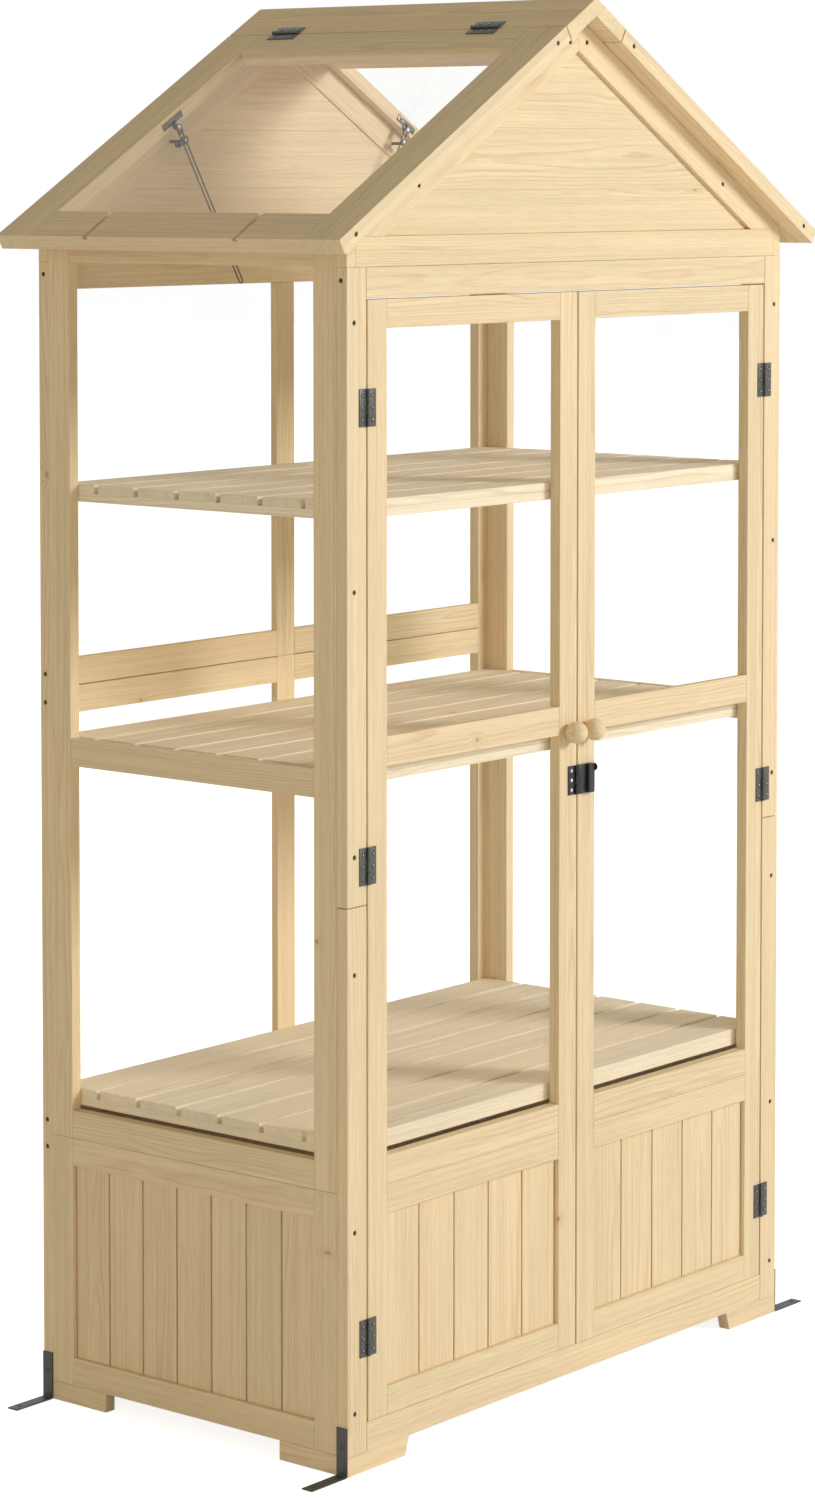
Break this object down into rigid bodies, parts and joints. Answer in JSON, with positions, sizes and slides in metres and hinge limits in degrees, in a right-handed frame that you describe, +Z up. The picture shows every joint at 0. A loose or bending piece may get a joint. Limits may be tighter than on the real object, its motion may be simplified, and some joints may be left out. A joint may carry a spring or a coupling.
{
  "type": "wooden mini greenhouse",
  "caption": "Tall glazed wooden cabinet with slatted shelves, planked base, hinged front doors and a gabled roof whose lids open on sliding stays.",
  "frame": {"origin": "middle of the footprint, on the ground", "axes": "+Z up; the doors face -Y; +X to the right as seen from the front"},
  "size_m": [1.144, 0.622, 1.9633],
  "materials": {
    "wood": "planed softwood, pale, unpainted, satin",
    "glass": "clear",
    "black_metal": "black, satin",
    "grey_metal": "dull zinc plate"
  },
  "bodies": {
    "cabinet": {"front_plinth": "wood", "front_gable": "wood", "back_gable": "wood", "back_frame": "wood", "back_pane": "glass", "ridge_cap": "wood", "upper_shelf": "wood", "middle_shelf": "wood", "lower_shelf": "wood", "left_post": "wood", "right_post": "wood", "left_base": "wood", "right_base": "wood", "left_side_frame": "wood", "right_side_frame": "wood", "left_side_pane": "glass", "right_side_pane": "glass", "left_front_anchor": "black_metal", "right_front_anchor": "black_metal", "left_back_anchor": "black_metal", "right_back_anchor": "black_metal", "left_door_lower_hinge_post_leaf": "black_metal", "left_door_middle_hinge_post_leaf": "black_metal", "left_door_upper_hinge_post_leaf": "black_metal", "right_door_lower_hinge_post_leaf": "black_metal", "right_door_middle_hinge_post_leaf": "black_metal", "right_door_upper_hinge_post_leaf": "black_metal", "left_lid_front_hinge_ridge_leaf": "black_metal", "left_lid_back_hinge_ridge_leaf": "black_metal", "right_lid_front_hinge_ridge_leaf": "black_metal", "right_lid_back_hinge_ridge_leaf": "black_metal"},
    "left_door": {"left_door_frame": "wood", "left_door_pane": "glass", "left_knob": "wood", "latch_plate": "black_metal", "left_door_lower_hinge_door_leaf": "black_metal", "left_door_middle_hinge_door_leaf": "black_metal", "left_door_upper_hinge_door_leaf": "black_metal"},
    "right_door": {"right_door_frame": "wood", "right_door_pane": "glass", "right_knob": "wood", "latch_catch": "black_metal", "right_door_lower_hinge_door_leaf": "black_metal", "right_door_middle_hinge_door_leaf": "black_metal", "right_door_upper_hinge_door_leaf": "black_metal"},
    "latch_flap": {"latch_flap": "black_metal"},
    "left_lid": {"left_lid_frame": "wood", "left_lid_pane": "glass", "left_lid_front_hinge_lid_leaf": "black_metal", "left_lid_back_hinge_lid_leaf": "black_metal", "left_stay_plate": "grey_metal"},
    "right_lid": {"right_lid_frame": "wood", "right_lid_pane": "glass", "right_lid_front_hinge_lid_leaf": "black_metal", "right_lid_back_hinge_lid_leaf": "black_metal", "right_stay_plate": "grey_metal"},
    "left_stay_rod": {"left_stay_rod": "grey_metal"},
    "right_stay_rod": {"right_stay_rod": "grey_metal"},
    "left_stay_guide": {"left_stay_guide": "grey_metal"},
    "right_stay_guide": {"right_stay_guide": "grey_metal"}
  },
  "joints": [
    {"name": "left_door_hinge", "type": "hinge", "parent": "cabinet", "child": "left_door", "pos_m": [-0.459, -0.2825, 0.81], "axis": [0, 0, -1], "range_deg": [0, 170]},
    {"name": "right_door_hinge", "type": "hinge", "parent": "cabinet", "child": "right_door", "pos_m": [0.459, -0.2825, 0.81], "axis": [0, 0, 1], "range_deg": [0, 170]},
    {"name": "latch_flap_hinge", "type": "hinge", "parent": "left_door", "child": "latch_flap", "pos_m": [-0.004, -0.2825, 0.8705], "axis": [0, 0, -1], "range_deg": [0, 150]},
    {"name": "left_lid_hinge", "type": "hinge", "parent": "cabinet", "child": "left_lid", "pos_m": [-0.07, 0, 1.92444], "axis": [0, 1, 0], "range_deg": [0, 60]},
    {"name": "right_lid_hinge", "type": "hinge", "parent": "cabinet", "child": "right_lid", "pos_m": [0.07, 0, 1.92444], "axis": [0, -1, 0], "range_deg": [0, 60]},
    {"name": "left_stay_rivet", "type": "hinge", "parent": "left_lid", "child": "left_stay_rod", "pos_m": [-0.25689, 0.239, 1.78509], "axis": [0, -1, 0], "range_deg": [0, 38]},
    {"name": "right_stay_rivet", "type": "hinge", "parent": "right_lid", "child": "right_stay_rod", "pos_m": [0.25689, 0.239, 1.78509], "axis": [0, 1, 0], "range_deg": [0, 38]},
    {"name": "left_guide_pin", "type": "hinge", "parent": "cabinet", "child": "left_stay_guide", "pos_m": [-0.24919, 0.239, 1.76448], "axis": [0, 1, 0], "range_deg": [0, 22.5]},
    {"name": "right_guide_pin", "type": "hinge", "parent": "cabinet", "child": "right_stay_guide", "pos_m": [0.24919, 0.239, 1.76448], "axis": [0, -1, 0], "range_deg": [0, 22.5]}
  ],
  "couplings": [
    {"joint": "right_door_hinge", "follows": "left_door_hinge", "ratio": 1},
    {"joint": "left_stay_rivet", "follows": "left_lid_hinge", "ratio": 0.63},
    {"joint": "left_guide_pin", "follows": "left_lid_hinge", "ratio": 0.37},
    {"joint": "right_stay_rivet", "follows": "right_lid_hinge", "ratio": 0.63},
    {"joint": "right_guide_pin", "follows": "right_lid_hinge", "ratio": 0.37}
  ]
}
